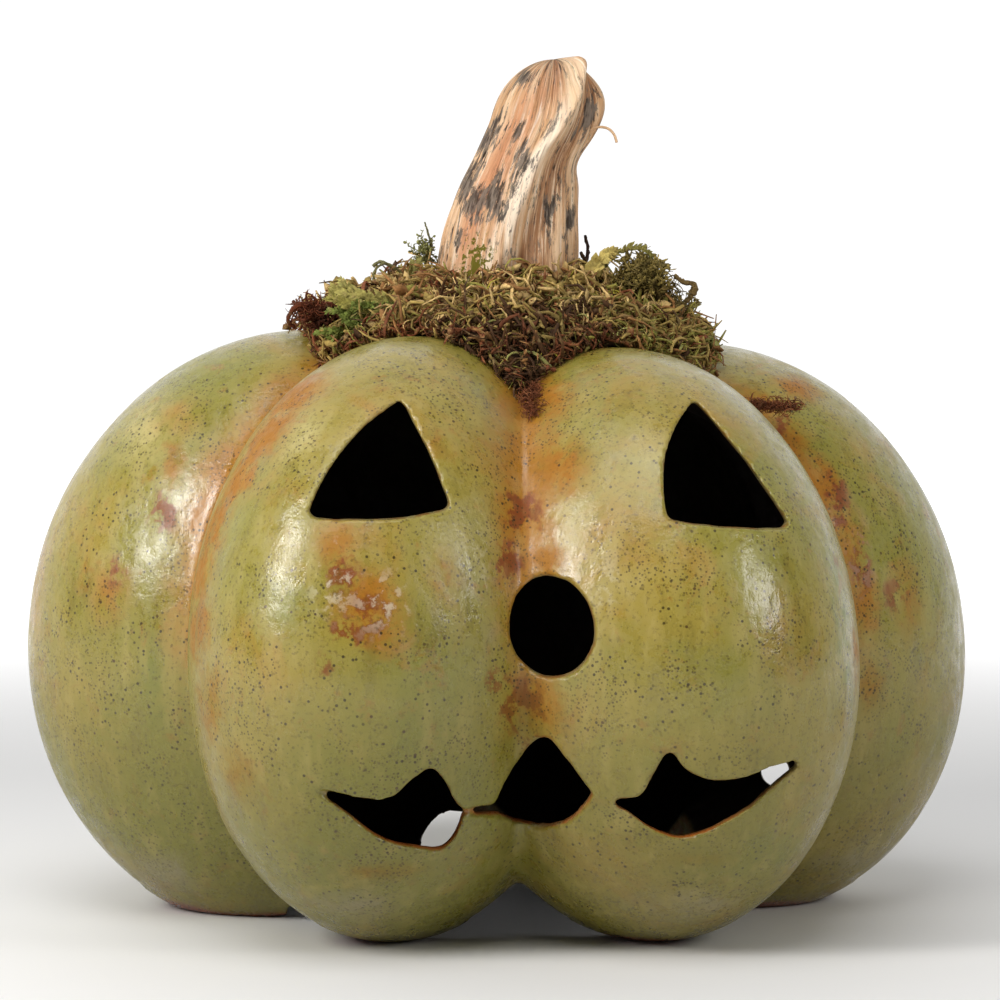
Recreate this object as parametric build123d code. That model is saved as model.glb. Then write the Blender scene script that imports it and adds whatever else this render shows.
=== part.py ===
from build123d import *
import math
import os

# Hollow glazed pumpkin lantern with a carved face, in millimetres.
# +Z is up, the face looks along -Y, and the origin is on the ground under the middle.

# ---- driving dimensions -------------------------------------------------
# body: six hand-formed lobes round a core, each an egg shape whose top leans inwards
belly_radius = 141.0        # axis to the furthest point of every lobe
wall = 6.0                  # thickness of the stoneware
core_radius = 0.6525 * belly_radius
core_half_height = 68.0
core_height = 83.0

# azimuth from the front (-Y) towards +X, half depth and half width as shares of the
# belly radius, half length, height of the lobe's middle, lean in degrees
lobe_shapes = [
    (-30.0, 0.5532, 0.4043, 87.5, 85.6, 18.0),    # front, left of the face
    (30.0, 0.5106, 0.4184, 86.0, 84.0, 18.0),     # front, right of the face
    (90.0, 0.5248, 0.4255, 87.5, 81.5, 17.0),     # right side
    (150.0, 0.5319, 0.4184, 87.0, 84.0, 15.0),    # back right
    (-150.0, 0.5461, 0.4184, 87.5, 84.5, 15.0),   # back left
    (-90.0, 0.5603, 0.4255, 90.5, 82.0, 10.0),    # left side
]
lobes = [
    (azimuth, depth * belly_radius, width * belly_radius, length, height, lean)
    for azimuth, depth, width, length, height, lean in lobe_shapes
]

base_opening_radius = 70.0  # open underside, inside the ring of feet
base_opening_top = 45.0
back_arch_x = -7.0          # low arch in the lower edge, under the groove at the back
back_arch_half_width = 14.0
back_arch_height = 16.5
back_arch_start = 55.0      # how far behind the axis it begins and ends
back_arch_end = 100.0
cord_hole_radius = 4.5      # small pierced hole, low at the back right
cord_hole_x = 89.5
cord_hole_z = 32.5

# face, cut straight through the front wall; places are x and z
face_cut_start = 75.0       # how far in front of the axis every cut begins
eye_corner = 1.0            # rounding of the eyes' corners
left_eye = [(-34.6, 156.0), (-61.5, 125.0), (-22.0, 126.8)]
left_eye_bulge = [3.7, 1.5, 0.8]
right_eye = [(47.6, 155.2), (37.6, 123.8), (72.8, 120.6)]
right_eye_bulge = [4.8, 0.8, 1.0]
nose_middle = (5.6, 94.2)
nose_half_width = 11.4
nose_half_height = 13.8
mouth_left_upper = [(-60.5, 52.2), (-51.7, 49.9), (-43.5, 48.4), (-38.0, 49.3), (-33.4, 53.6),
                    (-27.9, 56.6), (-24.0, 52.3), (-21.0, 46.2), (-18.5, 43.6)]
mouth_left_lower = [(-20.4, 37.0), (-25.0, 32.8), (-36.3, 35.0), (-43.4, 38.3), (-54.4, 47.2)]
mouth_middle_upper = [(-10.5, 42.6), (-4.4, 54.5), (3.8, 63.6), (10.0, 57.5), (17.0, 48.0)]
mouth_middle_lower = [(10.5, 39.6), (0.0, 37.4)]
mouth_right_upper = [(20.5, 47.0), (29.0, 48.2), (32.0, 53.5), (36.6, 61.3), (41.3, 56.3),
                     (48.0, 53.2), (56.4, 53.3), (64.9, 56.0), (73.5, 57.4)]
mouth_right_lower = [(66.5, 51.0), (58.2, 44.0), (43.2, 37.0), (34.2, 38.5), (25.3, 44.3)]
mouth_slit = 1.4            # hairline cut that joins the left and middle openings

# lid: cut out of the top along a cone, so that it drops back on its own seat
lid_radius = 50.0
lid_cut_height = 168.0      # where the cut has that radius
lid_cut_slope = 25.0        # degrees from upright, narrower downwards
lid_gap = 0.8               # knife cut, measured across
cone_above = 30.0           # how far the cutting cone runs above that height
cone_below = 60.0           # and below it

# dried pumpkin stem, the handle of the lid, on a pad in the lid's dimple
pad_height = 164.0
pad_radius = 24.0
pad_depth = 16.0
glue_thickness = 1.0
glue_radius = 20.0
stem_ribs = 5
stem_rib_height = 0.08      # ridge height as a share of the radius
# height above the glue, offset in x, offset in y, half width, half depth
stem_sections = [
    (0.0, 1.5, 0.0, 23.0, 21.5),
    (16.0, 2.2, 0.0, 21.6, 20.3),
    (32.0, 2.6, 0.0, 19.8, 18.5),
    (47.0, 4.2, 0.5, 18.4, 17.3),
    (62.0, 8.0, 1.0, 16.4, 15.6),
    (75.0, 13.6, 1.5, 15.2, 14.6),
    (84.0, 16.4, 2.0, 11.8, 11.4),
    (88.5, 17.0, 2.0, 7.5, 7.0),
]

# moss glued round the stem in four tufts; sectors are azimuths from the front
moss_radius = 61.0
moss_top = 187.0            # against the stem
moss_edge_top = 175.0
moss_bottom = 160.0
moss_edge_round = 4.0       # slope that breaks the outer edge
moss_swell = 1.0            # how far the top bulges half-way out
moss_clear = 0.5            # free height above the glaze
stem_clear = 0.6            # between moss and stem
tuft_gap = 0.6
tufts = {
    "moss_tuft_front": (-32.0, 30.0),
    "moss_tuft_right": (30.0, 140.0),
    "moss_tuft_back": (140.0, 222.0),
    "moss_tuft_left": (222.0, 328.0),
}

# twigs and sprigs pushed into the moss: points of the stalk, then where leaves sit
twig_radius = 1.1
twig_bend = 0.35            # bend radius as a share of the shorter run
leaf_size = (4.6, 2.4, 0.9)  # half length, half width, half thickness
leaf_tilt = 20.0            # degrees, up on one side and down on the other
leaf_spread = 60.0          # degrees either side of the stalk
leaf_turn = 25.0            # degrees further round for every next pair
fork_radius = 0.9
twigs = {
    "fern_sprig_left": [(-27, -22, 178), (-33, -27, 184), (-42, -30, 186), (-51, -31, 188)],
    "curled_sprig_left": [(-42, -18, 176), (-51, -21, 180), (-60, -23, 178.5), (-62, -18, 181)],
    "hooked_twig_left": [(-27, -8, 182), (-30, -11, 189), (-35, -14, 192), (-37, -14, 189)],
    "upright_twig_left": [(-25, 4, 184), (-24, 3, 191), (-20.5, 2, 196), (-21.5, 1, 201)],
    "dark_twig_right": [(26, 6, 183), (25.5, 6, 190), (27, 7, 195), (25, 8, 199)],
    "looped_sprig_right": [(26, -12, 182), (30, -13, 192), (38, -13, 198), (46, -12, 195), (50, -10, 190)],
    "forked_twig_right": [(40, -8, 179), (49, -11, 184), (55, -13, 187), (60, -14, 188)],
}
leafy = ("fern_sprig_left", "curled_sprig_left", "looped_sprig_right")
fork_point = (55, -13, 187)
fork_end = (53, -15, 193)

# crumbs of moss glued in the grooves: azimuth of the groove, radii where they lie
trail_clear = 0.2
crumb_size = (4.4, 3.6, 2.6)
trails = {
    "moss_crumbs_front": (2.5, 67.0, 78.0),
    "moss_crumbs_right": (59.0, 67.0, 94.0),
}
crumb_tilt = 35.0           # degrees, each crumb leans down the groove
crumb_step = 3.5

level_height = 220.0        # height of the box that trims the feet level


# ---- glazed shell -------------------------------------------------------
def lobe_middle(depth, length, lean):
    """Distance from the axis to a lobe's middle, so that it reaches the belly radius."""
    tilt = math.radians(lean)
    return belly_radius - math.hypot(depth * math.cos(tilt), length * math.sin(tilt))


def lobe(azimuth, depth, width, length, height, lean, grow):
    """One lobe; grow moves its skin out, or in when it is negative."""
    bulge = scale(Sphere(1), by=(depth + grow, width + grow, length + grow))
    bulge = Rotation(0, -lean, 0) * Rotation(0, 0, 180) * bulge    # the sphere's seam faces the axis
    place = Pos(lobe_middle(depth, length, lean), 0, height)
    return Rotation(0, 0, azimuth - 90) * place * bulge


def gourd(grow):
    """The core and all lobes joined, with the skin moved by grow."""
    core_size = (core_radius + grow, core_radius + grow, core_half_height + grow)
    solid = Pos(0, 0, core_height) * scale(Sphere(1), by=core_size)
    for size in lobes:
        solid += lobe(*size, grow)
    return solid


def skin_height(x, y):
    """Height of the glazed skin straight above a point of the ground."""
    heights = []
    for azimuth, depth, width, length, height, lean in lobes:
        turn = math.radians(azimuth - 90)
        tilt = math.radians(lean)
        out = x * math.cos(turn) + y * math.sin(turn) - lobe_middle(depth, length, lean)
        side = -x * math.sin(turn) + y * math.cos(turn)
        # the upright line (out, side, t) in the leaning lobe's own unit sphere
        start = (out * math.cos(tilt) / depth, side / width, -out * math.sin(tilt) / length)
        step = (math.sin(tilt) / depth, 0.0, math.cos(tilt) / length)
        a = sum(s * s for s in step)
        b = sum(p * s for p, s in zip(start, step))
        c = sum(p * p for p in start) - 1
        if b * b > a * c:
            heights.append(height + (math.sqrt(b * b - a * c) - b) / a)
    return max(heights)


def through_face(outline):
    """Straight cut through the front wall, from an outline in x and z."""
    start = Plane.XZ.offset(face_cut_start)
    return extrude(start * outline, amount=belly_radius - face_cut_start)


def bulged_outline(corners, bulges):
    """Outline whose sides are arcs that stand out from the straight by their bulge."""
    sides = []
    for index, start in enumerate(corners):
        end = corners[(index + 1) % len(corners)]
        run = Vector(end[0] - start[0], end[1] - start[1])
        outwards = Vector(run.Y, -run.X).normalized() * bulges[index]
        middle = (Vector(*start) + Vector(*end)) * 0.5 + outwards
        sides.append(ThreePointArc(start, middle, end))
    return make_face(sides)


def eye(corners, bulges):
    outline = bulged_outline(corners, bulges)
    return through_face(fillet(outline.vertices(), eye_corner))


def nose():
    return through_face(Pos(*nose_middle) * Ellipse(nose_half_width, nose_half_height))


def lips(upper, lower):
    """Opening between two smooth lips that meet at the ends of the upper one."""
    top = Spline(*upper)
    bottom = Spline(upper[-1], *lower, upper[0])
    return through_face(make_face([top, bottom]))


def slit():
    """Hairline cut from the left opening's corner to the middle one's."""
    start = Vector(*mouth_left_upper[-1])
    end = Vector(*mouth_middle_upper[0])
    run = end - start
    turn = math.degrees(math.atan2(run.Y, run.X))
    middle = (start + end) * 0.5
    outline = Pos(middle.X, middle.Y) * Rotation(0, 0, turn)
    return through_face(outline * Rectangle(run.length + 2 * mouth_slit, mouth_slit))


def mouth():
    cut = lips(mouth_left_upper, mouth_left_lower)
    cut += lips(mouth_middle_upper, mouth_middle_lower)
    cut += lips(mouth_right_upper, mouth_right_lower)
    cut += slit()
    return cut


def lid_cone(gap):
    """Cone of the lid's cut, made smaller all round by gap."""
    slope = math.tan(math.radians(lid_cut_slope))
    inset = gap / math.cos(math.radians(lid_cut_slope))
    low = lid_radius - cone_below * slope - inset
    high = lid_radius + cone_above * slope - inset
    place = Pos(0, 0, lid_cut_height - cone_below)
    return place * Cone(low, high, cone_below + cone_above, align=(Align.CENTER, Align.CENTER, Align.MIN))


def back_arch():
    outline = Pos(back_arch_x, 0) * Ellipse(back_arch_half_width, back_arch_height)
    return extrude(Plane.XZ.offset(-back_arch_end) * outline, amount=back_arch_end - back_arch_start)


def above(height):
    """Everything above a height, to trim the feet level and keep a floor inside them."""
    size = 3 * belly_radius
    return Pos(0, 0, height + level_height / 2) * Box(size, size, level_height)


hollow = gourd(-wall) & above(wall)
shell = gourd(0) - hollow


def ceramic_body():
    cord_hole = Plane.XZ * Pos(cord_hole_x, cord_hole_z) * Circle(cord_hole_radius)
    body = shell & above(0)
    body -= lid_cone(0)
    body -= Cylinder(base_opening_radius, 2 * base_opening_top)
    body -= extrude(cord_hole, amount=-belly_radius)
    body -= back_arch()
    body -= eye(left_eye, left_eye_bulge)
    body -= eye(right_eye, right_eye_bulge)
    body -= nose()
    body -= mouth()
    return body


def ceramic_lid():
    pad = Pos(0, 0, pad_height - pad_depth / 2) * Cylinder(pad_radius, pad_depth)
    return (shell & lid_cone(lid_gap)) + pad


# ---- stem ---------------------------------------------------------------
def stem_outline(half_width, half_depth, grow):
    """Ridged outline: one crest and one valley for every rib."""
    points = []
    for step in range(2 * stem_ribs):
        turn = math.pi * step / stem_ribs
        ridge = stem_rib_height * (1 if step % 2 == 0 else -1)
        x = (half_width * (1 + ridge) + grow) * math.cos(turn)
        y = (half_depth * (1 + ridge) + grow) * math.sin(turn)
        points.append((x, y))
    return make_face(Spline(*points, periodic=True))


def stem_solid(grow):
    base = pad_height + glue_thickness
    faces = []
    for height, x, y, half_width, half_depth in stem_sections:
        faces.append(Pos(x, y, base + height) * stem_outline(half_width, half_depth, grow))
    return loft(faces)


def stem_glue():
    middle = pad_height + glue_thickness / 2
    return Pos(0, 0, middle) * Cylinder(glue_radius, glue_thickness)


# ---- moss ---------------------------------------------------------------
def moss_ring():
    """Cushion of moss from the stem out over the crests of the lobes."""
    profile = [
        (0, moss_bottom),
        (moss_radius, moss_bottom),
        (moss_radius, moss_edge_top - moss_edge_round),
        (moss_radius - moss_edge_round, moss_edge_top),
        ((moss_radius + pad_radius) / 2, (moss_edge_top + moss_top) / 2 + moss_swell),
        (pad_radius, moss_top),
        (0, moss_top),
    ]
    ring = revolve(Plane.XZ * make_face(Polyline(*profile, close=True)), Axis.Z)
    return ring - gourd(moss_clear) - stem_solid(stem_clear) - tuft_core()


def tuft_core():
    """Room for the pad and the glue under the stem."""
    height = 2 * glue_thickness + pad_depth
    top = pad_height + glue_thickness
    return Pos(0, 0, top - height / 2 + moss_clear) * Cylinder(pad_radius + moss_clear, height)


def sector(start, end):
    """Upright wedge between two azimuths, further out than the moss."""
    reach = 3 * moss_radius
    steps = 4
    points = [(0.0, 0.0)]
    for step in range(steps + 1):
        azimuth = math.radians(start + (end - start) * step / steps)
        points.append((reach * math.sin(azimuth), -reach * math.cos(azimuth)))
    wedge = extrude(make_face(Polyline(*points, close=True)), amount=2 * moss_top)
    half = math.radians((start + end) / 2)
    apart = tuft_gap / 2 / math.sin(math.radians(end - start) / 2)
    return Pos(apart * math.sin(half), -apart * math.cos(half), 0) * wedge


# ---- twigs and sprigs ---------------------------------------------------
def stalk(points, radius):
    """Round twig along straight runs joined by arcs."""
    runs = [(Vector(*b) - Vector(*a)).length for a, b in zip(points, points[1:])]
    path = FilletPolyline(*points, radius=twig_bend * min(runs))
    start = Plane(origin=path @ 0, z_dir=path % 0)
    return sweep(start * Circle(radius), path=path)


def leaves(points):
    """Small flat leaves, one each side of every inner point of a stalk."""
    group = []
    leaf = scale(Sphere(1), by=leaf_size)
    for index, point in enumerate(points[1:]):
        for side in (-1, 1):
            turn = Rotation(0, leaf_tilt * side, leaf_spread * side + leaf_turn * index)
            base = Pos(leaf_size[0] - twig_radius, 0, 0)
            group.append(Pos(*point) * turn * base * leaf)
    return group


def twig(name):
    points = twigs[name]
    solid = stalk(points, twig_radius)
    if name in leafy:
        for leaf in leaves(points):
            solid += leaf
    if name == "forked_twig_right":
        run = Vector(*fork_end) - Vector(*fork_point)
        fork = Plane(origin=fork_point, z_dir=run) * Circle(fork_radius)
        solid += extrude(fork, amount=run.length)
    return solid


# ---- crumbs of moss in the grooves --------------------------------------
def crumbs(azimuth, first_radius, last_radius):
    """Chain of crumbs along a groove, trimmed to the glaze below."""
    turn = math.radians(azimuth)
    chain = []
    radius = first_radius
    while radius <= last_radius:
        x = radius * math.sin(turn)
        y = -radius * math.cos(turn)
        crumb = Rotation(0, crumb_tilt, azimuth - 90) * scale(Sphere(1), by=crumb_size)
        chain.append(Pos(x, y, skin_height(x, y) + trail_clear) * crumb)
        radius += crumb_step
    solid = chain[0]
    for crumb in chain[1:]:
        solid += crumb
    return solid - gourd(trail_clear)


# ---- every sub-part -----------------------------------------------------
parts = {
    "ceramic_body": ceramic_body(),
    "ceramic_lid": ceramic_lid(),
    "stem_glue": stem_glue(),
    "stem": stem_solid(0),
}
ring = moss_ring()
for name, (start, end) in tufts.items():
    parts[name] = ring & sector(start, end)
for name in twigs:
    parts[name] = twig(name)
for name, (azimuth, first_radius, last_radius) in trails.items():
    parts[name] = crumbs(azimuth, first_radius, last_radius)

os.makedirs("parts", exist_ok=True)
for name, solid in parts.items():
    export_step(solid, f"parts/{name}.step")
    print(name, len(solid.solids()), round(solid.volume), solid.is_valid)
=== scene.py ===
import bpy
import bmesh
import math
import random
import numpy as np
from mathutils import Matrix, Vector


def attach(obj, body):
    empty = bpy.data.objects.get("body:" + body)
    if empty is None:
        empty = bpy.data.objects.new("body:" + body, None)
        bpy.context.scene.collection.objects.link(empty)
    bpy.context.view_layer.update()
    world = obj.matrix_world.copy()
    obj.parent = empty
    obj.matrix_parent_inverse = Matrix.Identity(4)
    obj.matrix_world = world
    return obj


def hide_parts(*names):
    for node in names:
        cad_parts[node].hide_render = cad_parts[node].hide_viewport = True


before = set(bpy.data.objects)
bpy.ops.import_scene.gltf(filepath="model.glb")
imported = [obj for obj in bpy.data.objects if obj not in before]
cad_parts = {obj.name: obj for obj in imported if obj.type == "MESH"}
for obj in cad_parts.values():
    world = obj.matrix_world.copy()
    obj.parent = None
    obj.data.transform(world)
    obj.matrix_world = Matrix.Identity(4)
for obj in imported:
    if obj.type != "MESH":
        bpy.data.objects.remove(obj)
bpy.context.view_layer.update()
mm = 0.001
rng = np.random.default_rng(7)
random.seed(7)
scene = bpy.context.scene
scene.view_settings.view_transform = "Standard"

view = {
    "target": (0.0, 0.0, 121 * mm),
    "distance": 1.3,
    "elevation": 4.2,      # degrees above level
    "turn": 4.4,           # degrees towards the left of the face
    "lens": 156.3,
    "sensor": 36.0,
}


def towards(azimuth, height):      # direction out from the object, both angles in degrees
    turn = math.radians(azimuth)
    up = math.radians(height)
    return Vector((math.sin(turn) * math.cos(up), -math.cos(turn) * math.cos(up), math.sin(up)))


def addCamera():
    away = towards(-view["turn"], view["elevation"])
    data = bpy.data.cameras.new("camera")
    data.lens = view["lens"]
    data.sensor_width = view["sensor"]
    data.clip_end = 20
    camera = bpy.data.objects.new("camera", data)
    camera.location = Vector(view["target"]) + away * view["distance"]
    camera.rotation_euler = away.to_track_quat("Z", "Y").to_euler()
    scene.collection.objects.link(camera)
    scene.camera = camera


lights = {      # azimuth from the front, height angle, distance, width, height, watts, warmth
    "leftBox": (-58, 28, 0.95, 0.20, 0.42, 5.2, (1.0, 0.975, 0.94)),
    "rightBox": (50, 22, 1.05, 0.22, 0.36, 2.2, (1.0, 0.975, 0.94)),
    "topBox": (-20, 62, 1.3, 0.9, 0.9, 7.6, (1.0, 1.0, 1.0)),
}
room = {"front": 0.1, "back": 1.05}     # brightness of the plain studio round the object


def addLights():
    for name, (azimuth, height, distance, wide, tall, watts, tint) in lights.items():
        way = towards(azimuth, height)
        data = bpy.data.lights.new(name, "AREA")
        data.shape = "RECTANGLE"
        data.size = wide
        data.size_y = tall
        data.energy = watts
        data.color = tint
        lamp = bpy.data.objects.new(name, data)
        lamp.location = Vector((0, 0, 0.09)) + way * distance
        lamp.rotation_euler = way.to_track_quat("Z", "Y").to_euler()
        scene.collection.objects.link(lamp)
    world = bpy.data.worlds.new("studio")
    world.use_nodes = True
    tree = world.node_tree
    way = tree.nodes.new("ShaderNodeTexCoord")
    parts = tree.nodes.new("ShaderNodeSeparateXYZ")
    fade = tree.nodes.new("ShaderNodeMapRange")
    fade.interpolation_type = "SMOOTHSTEP"
    bounds = {"From Min": -0.1, "From Max": 0.8, "To Min": room["front"], "To Max": room["back"]}
    for socket, value in bounds.items():
        fade.inputs[socket].default_value = value
    tree.links.new(way.outputs["Generated"], parts.inputs[0])
    tree.links.new(parts.outputs["Y"], fade.inputs["Value"])
    tree.nodes["Background"].inputs["Color"].default_value = (1, 1, 1, 1)
    tree.links.new(fade.outputs[0], tree.nodes["Background"].inputs["Strength"])
    scene.world = world


class Shader:      # short names for the nodes of one material
    def __init__(self, name):
        self.material = bpy.data.materials.new(name)
        self.material.use_nodes = True
        self.tree = self.material.node_tree
        self.base = self.tree.nodes["Principled BSDF"]

    def node(self, kind, **sockets):
        made = self.tree.nodes.new(kind)
        for key, value in sockets.items():
            self.feed(made, key.replace("_", " "), value)
        return made

    def feed(self, node, socket, value):
        target = node.inputs[socket]
        if isinstance(value, bpy.types.NodeSocket):
            self.tree.links.new(value, target)
        elif isinstance(value, tuple) and len(value) == 3 and target.type == "RGBA":
            target.default_value = (*value, 1)
        else:
            target.default_value = value

    def place(self, size=(1, 1, 1)):
        where = self.node("ShaderNodeTexCoord").outputs["Object"]
        if size == (1, 1, 1):
            return where
        return self.node("ShaderNodeMapping", Vector=where, Scale=size).outputs[0]

    def attribute(self, name, socket="Fac"):
        made = self.node("ShaderNodeAttribute")
        made.attribute_name = name
        return made.outputs[socket]

    def noise(self, scale, where=None, detail=4.0, rough=0.55, twist=0.0):
        made = self.node("ShaderNodeTexNoise", Scale=scale, Detail=detail, Roughness=rough, Distortion=twist)
        self.tree.links.new(where or self.place(), made.inputs["Vector"])
        return made.outputs["Fac"]

    def cells(self, scale, where=None):
        made = self.node("ShaderNodeTexVoronoi", Scale=scale, Randomness=1.0)
        self.tree.links.new(where or self.place(), made.inputs["Vector"])
        return made.outputs["Distance"]

    def ramp(self, value, low, high, fromValue=0.0, toValue=1.0):
        made = self.node("ShaderNodeMapRange", Value=value)
        made.interpolation_type = "SMOOTHSTEP"
        made.inputs["From Min"].default_value = low
        made.inputs["From Max"].default_value = high
        made.inputs["To Min"].default_value = fromValue
        made.inputs["To Max"].default_value = toValue
        return made.outputs[0]

    def reckon(self, kind, a, b):
        made = self.node("ShaderNodeMath")
        made.operation = kind
        self.feed(made, 0, a)
        self.feed(made, 1, b)
        return made.outputs[0]

    def times(self, a, b):
        return self.reckon("MULTIPLY", a, b)

    def plus(self, a, b):
        return self.reckon("ADD", a, b)

    def mix(self, amount, a, b):
        made = self.tree.nodes.new("ShaderNodeMix")
        made.data_type = "RGBA"
        self.feed(made, 0, amount)
        self.feed(made, 6, a if isinstance(a, bpy.types.NodeSocket) else (*a, 1))
        self.feed(made, 7, b if isinstance(b, bpy.types.NodeSocket) else (*b, 1))
        return made.outputs[2]

    def bump(self, height, depth, strength=1.0, after=None):
        made = self.node("ShaderNodeBump", Height=height, Strength=strength, Distance=depth)
        if after:
            self.tree.links.new(after, made.inputs["Normal"])
        return made.outputs[0]

    def finish(self, **sockets):
        for key, value in sockets.items():
            self.feed(self.base, key.replace("_", " "), value)
        return self.material


def srgb(red, green, blue):      # linear colour of a paint chip given in 0 to 255
    values = []
    for part in (red, green, blue):
        part /= 255
        values.append(part / 12.92 if part <= 0.04045 else ((part + 0.055) / 1.055) ** 2.4)
    return tuple(values)


def addPiece(name, mesh, body, material, replaced=()):
    piece = asObject(name, mesh)
    mesh.materials.clear()
    mesh.materials.append(material)
    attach(piece, body)
    if replaced:
        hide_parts(*replaced)


form = {
    "belly": 141.0,
    "wall": 6.0,
    "core": (92.0, 92.0, 68.0),
    "coreHeight": 83.0,
    "middle": 84.0,          # point on the axis that every lobe is seen from
    "blend": 2.2,            # softness of the grooves between lobes
    "lobes": [               # azimuth, half depth, half width, half length, height, inward lean
        (-30.0, 78.0, 57.0, 87.5, 85.6, 18.0),
        (30.0, 72.0, 59.0, 86.0, 84.0, 18.0),
        (90.0, 74.0, 60.0, 87.5, 81.5, 17.0),
        (150.0, 75.0, 59.0, 87.0, 84.0, 15.0),
        (-150.0, 77.0, 59.0, 87.5, 84.5, 15.0),
        (-90.0, 79.0, 60.0, 90.5, 82.0, 10.0),
    ],
}


def farHit(ways, centre, axes, sizes):      # distance to the far side of an egg shape
    start = (axes @ (np.array([0, 0, form["middle"]]) - centre)) / sizes
    step = (ways @ axes.T) / sizes
    a = (step * step).sum(1)
    b = step @ start
    c = start @ start - 1
    inside = np.maximum(b * b - a * c, 0)
    return np.where(b * b - a * c > 0, (np.sqrt(inside) - b) / a, 0)


def skinDistances(ways, grow):      # one column for each lobe, and the core
    columns = []
    for azimuth, depth, width, length, height, lean in form["lobes"]:
        turn = math.radians(azimuth)
        tilt = math.radians(lean)
        out = np.array([math.sin(turn), -math.cos(turn), 0])
        side = np.array([math.cos(turn), math.sin(turn), 0])
        up = np.array([0, 0, 1.0])
        axes = np.stack([out * math.cos(tilt) + up * math.sin(tilt), side,
                         up * math.cos(tilt) - out * math.sin(tilt)])
        reach = math.hypot(depth * math.cos(tilt), length * math.sin(tilt))
        centre = out * (form["belly"] - reach) + up * height
        columns.append(farHit(ways, centre, axes, np.array([depth, width, length]) + grow))
    core = np.array([0, 0, form["coreHeight"]])
    columns.append(farHit(ways, core, np.eye(3), np.array(form["core"]) + grow))
    return np.stack(columns, 1)


def skinDistance(ways, grow=0.0):      # the joined skin, with softened grooves
    hits = skinDistances(ways, grow)
    top = hits.max(1)
    soft = form["blend"]
    return top + soft * np.log(np.exp((hits - top[:, None]) / soft).sum(1)) * 0.9


def grooveDepth(ways):      # 1 in the bottom of a groove, 0 up its flanks
    hits = np.sort(skinDistances(ways, 0.0), 1)
    return np.clip(1 - (hits[:, -1] - hits[:, -2]) / 30.0, 0, 1)


def readPoints(mesh):
    points = np.empty(len(mesh.vertices) * 3, np.float32)
    mesh.vertices.foreach_get("co", points)
    return points.reshape(-1, 3).astype(np.float64)


def writePoints(mesh, points):
    mesh.vertices.foreach_set("co", points.astype(np.float32).ravel())
    mesh.update()


def writeLayers(mesh, store):
    for name, values in store.items():
        layer = mesh.attributes.new(name, "FLOAT", "POINT")
        layer.data.foreach_set("value", values.astype(np.float32))


def skinObject(name, grow, lowest):      # ball pushed out to the lobed skin
    shape = bmesh.new()
    bmesh.ops.create_icosphere(shape, subdivisions=7, radius=1)
    mesh = asMesh(name, shape)
    ways = readPoints(mesh)
    ways /= np.linalg.norm(ways, axis=1)[:, None]
    points = ways * skinDistance(ways, grow)[:, None]
    points[:, 2] = np.maximum(points[:, 2] + form["middle"], lowest)
    writePoints(mesh, points * mm)
    return asObject(name, mesh)


carving = {
    "start": 75.0,                      # where the cuts through the face begin
    "clear": 4.0,
    "leftEye": [(-34.6, 156.0), (-61.5, 125.0), (-22.0, 126.8)],
    "leftEyeBulge": [3.7, 1.5, 0.8],
    "rightEye": [(47.6, 155.2), (37.6, 123.8), (72.8, 120.6)],
    "rightEyeBulge": [4.8, 0.8, 1.0],
    "noseMiddle": (5.6, 94.2),
    "noseSize": (11.4, 13.8),
    "mouthLeft": [(-65.0, 53.6), (-51.7, 49.9), (-43.5, 48.4), (-38.0, 49.3), (-33.4, 53.6),
                  (-27.9, 56.6), (-24.0, 52.3), (-21.0, 46.2), (-18.5, 43.6),
                  (-20.4, 37.0), (-25.0, 32.8), (-36.3, 35.0), (-43.4, 38.3), (-54.4, 47.2)],
    "mouthLeftCorners": (0, 8),
    "mouthMiddle": [(-10.5, 42.6), (-4.4, 54.5), (3.8, 63.6), (10.0, 57.5), (17.0, 48.0),
                    (10.5, 39.6), (0.0, 37.4)],
    "mouthMiddleCorners": (0, 4),
    "mouthRight": [(20.5, 47.0), (29.0, 48.2), (32.0, 53.5), (36.6, 61.3), (41.3, 56.3),
                   (48.0, 53.2), (56.4, 53.3), (64.9, 56.0), (77.5, 58.6),
                   (66.5, 51.0), (58.2, 44.0), (43.2, 37.0), (34.2, 38.5), (25.3, 44.3)],
    "mouthRightCorners": (0, 8),
    "slit": [(-21.5, 44.9), (-7.5, 43.9), (-7.5, 41.7), (-21.5, 42.4)],
    "lidRadius": 50.0,
    "lidHeight": 168.0,
    "lidSlope": 25.0,
    "lidGap": 0.8,
    "coneReach": (60.0, 30.0),          # how far the lid's cutter runs below and above its height
    "baseRadius": 70.0,
    "baseTop": 45.0,
    "cordHole": (89.5, 32.5, 4.5),
    "cordStart": 20.0,
    "archX": -7.0,
    "archHalf": 14.0,
    "archTall": 16.5,
    "archReach": (55.0, 100.0),
    "pad": (24.0, 148.0, 164.0),        # radius, foot and top under the stem
    "unevenness": 0.18,
}


def smoothOutline(points, corners, steps=6):      # closed line, sharp at the listed corners
    count = len(points)
    line = []
    for index in range(count):
        a = Vector(points[index - 1])
        b = Vector(points[index])
        c = Vector(points[(index + 1) % count])
        d = Vector(points[(index + 2) % count])
        leaving = (c - b) if index in corners else (c - a) / 2
        arriving = (c - b) if (index + 1) % count in corners else (d - b) / 2
        for step in range(steps):
            t = step / steps
            line.append(b * (2 * t**3 - 3 * t**2 + 1) + leaving * (t**3 - 2 * t**2 + t)
                        + c * (3 * t**2 - 2 * t**3) + arriving * (t**3 - t**2))
    return line


def bulgedOutline(corners, bulges, steps=10):      # corners joined by arcs that stand outwards
    line = []
    for index, start in enumerate(corners):
        a = Vector(start)
        b = Vector(corners[(index + 1) % len(corners)])
        out = Vector((b.y - a.y, a.x - b.x)).normalized() * bulges[index]
        for step in range(steps):
            t = step / steps
            line.append(a.lerp(b, t) + out * 4 * t * (1 - t))
    return line


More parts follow.
